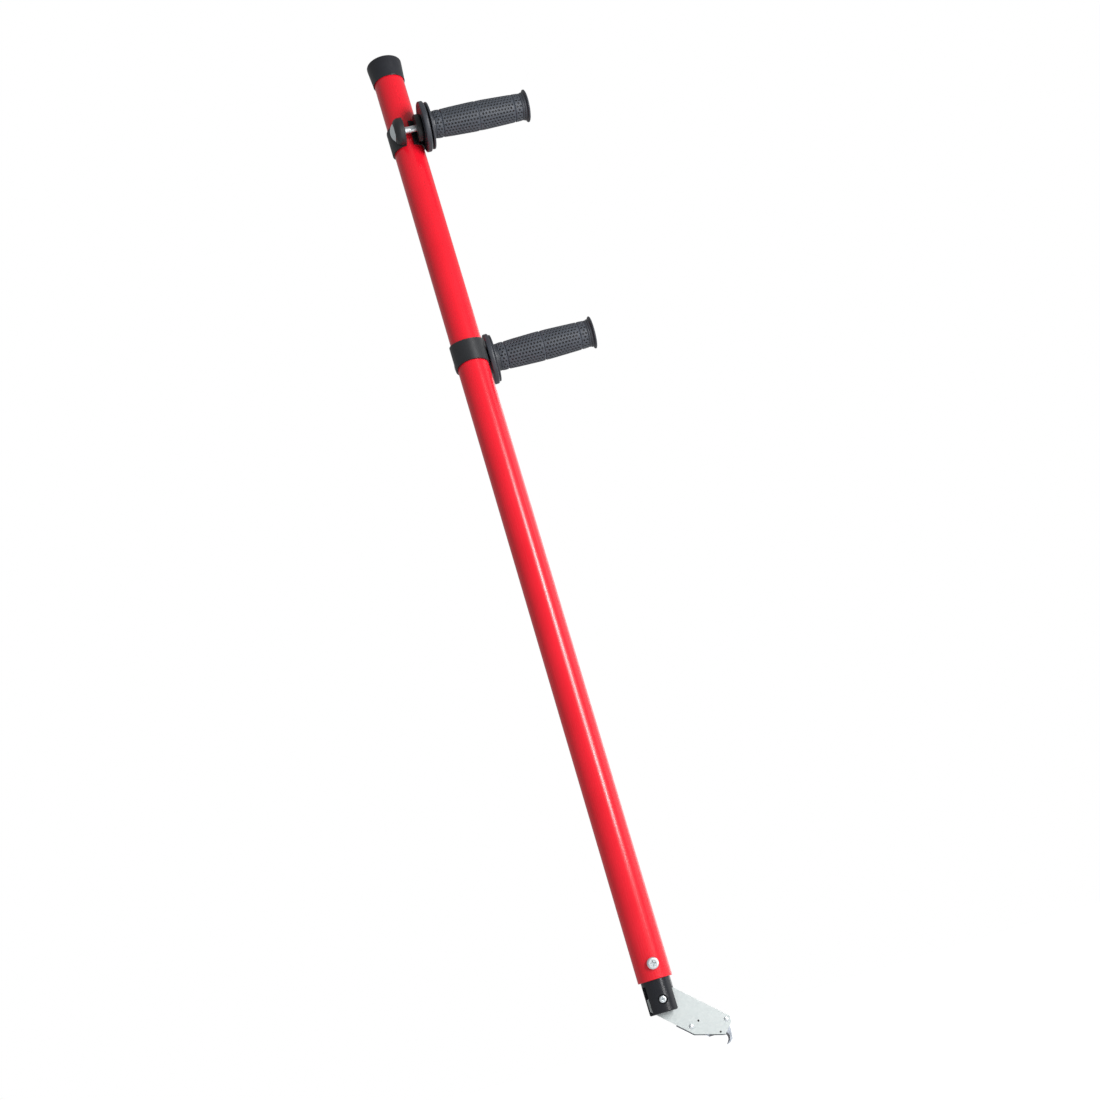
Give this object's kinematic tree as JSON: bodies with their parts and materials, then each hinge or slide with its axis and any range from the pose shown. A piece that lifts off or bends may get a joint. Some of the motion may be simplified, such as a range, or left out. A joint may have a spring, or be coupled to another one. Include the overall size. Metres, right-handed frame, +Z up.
{
  "type": "long-handled hook-blade cutter",
  "caption": "Standing cutter: a long red tube with clamp-on side grips, a plastic end cap and a forked socket holding a slanted plate that carries a double-hooked blade.",
  "frame": {"origin": "on the main tube's axis, 350 mm above the tube's lower end, in the middle of the bare stretch where a rack clip or a hand holds it", "axes": "+Z up the tube towards the end cap; +X the way that the blade and both side handles point; -Y the side that the screw heads and the holder plate face"},
  "size_m": [0.1646, 0.1031, 1.151],
  "materials": {
    "red_coat": "powder coat, semi-gloss",
    "black_cap": "soft matt plastic",
    "black_socket": "glossy black",
    "zinc": "bright zinc plated",
    "galvanised": "galvanised, faint mottling",
    "dark_steel": "plain dark steel",
    "blade_steel": "ground and polished",
    "clamp_black": "satin black",
    "disc_grey": "satin dark grey",
    "core_grey": "satin dark grey",
    "sleeve_grey": "soft, dimpled"
  },
  "bodies": {
    "tube": {"main_tube": "red_coat", "end_cap": "black_cap", "socket": "black_socket", "tube_screw": "zinc", "pivot_screw": "zinc", "pivot_spacer": "dark_steel"},
    "holder": {"holder_plate": "galvanised", "locating_pins": "dark_steel"},
    "cover": {"cover_plate": "dark_steel", "cover_screws": "zinc"},
    "blade": {"hook_blade": "blade_steel"},
    "upper_clamp": {"upper_clamp": "clamp_black", "upper_bolt": "zinc"},
    "upper_disc": {"upper_disc": "disc_grey"},
    "upper_grip": {"upper_core": "core_grey", "upper_sleeve": "sleeve_grey"},
    "lower_clamp": {"lower_clamp": "clamp_black", "lower_bolt": "zinc"},
    "lower_disc": {"lower_disc": "disc_grey"},
    "lower_grip": {"lower_core": "core_grey", "lower_sleeve": "sleeve_grey"}
  },
  "joints": [
    {"name": "holder_swing", "type": "hinge", "parent": "tube", "child": "holder", "pos_m": [0, 0, -0.3699], "axis": [0, 1, 0], "range_deg": [0, 55]},
    {"name": "cover_lift", "type": "slide", "parent": "holder", "child": "cover", "axis": [0, 1, 0], "range_m": [0, 0.03]},
    {"name": "blade_lift", "type": "slide", "parent": "holder", "child": "blade", "axis": [0, 1, 0], "range_m": [0, 0.015]},
    {"name": "upper_handle_height", "type": "slide", "parent": "tube", "child": "upper_clamp", "axis": [0, 0, 1], "range_m": [-0.1, 0.045]},
    {"name": "upper_disc_shift", "type": "slide", "parent": "upper_clamp", "child": "upper_disc", "axis": [0.9997, 0.0262, 0], "range_m": [0, 0.005]},
    {"name": "upper_grip_turn", "type": "hinge", "parent": "upper_disc", "child": "upper_grip", "pos_m": [0.00063, -0.02399, 0.618], "axis": [0.9997, 0.0262, 0], "range_deg": [0, 1440]},
    {"name": "lower_handle_height", "type": "slide", "parent": "tube", "child": "lower_clamp", "axis": [0, 0, 1], "range_m": [-0.6, 0.11]},
    {"name": "lower_disc_shift", "type": "slide", "parent": "lower_clamp", "child": "lower_disc", "axis": [0.9986, -0.0523, 0], "range_m": [0, 0.005]},
    {"name": "lower_grip_turn", "type": "hinge", "parent": "lower_disc", "child": "lower_grip", "pos_m": [0.00126, 0.02397, 0.3415], "axis": [0.9986, -0.0523, 0], "range_deg": [0, 1440]}
  ],
  "couplings": [
    {"joint": "blade_lift", "follows": "cover_lift", "ratio": 0.5},
    {"joint": "upper_disc_shift", "follows": "upper_grip_turn", "m_per_rad": 0.00019894},
    {"joint": "lower_disc_shift", "follows": "lower_grip_turn", "m_per_rad": 0.00019894}
  ]
}
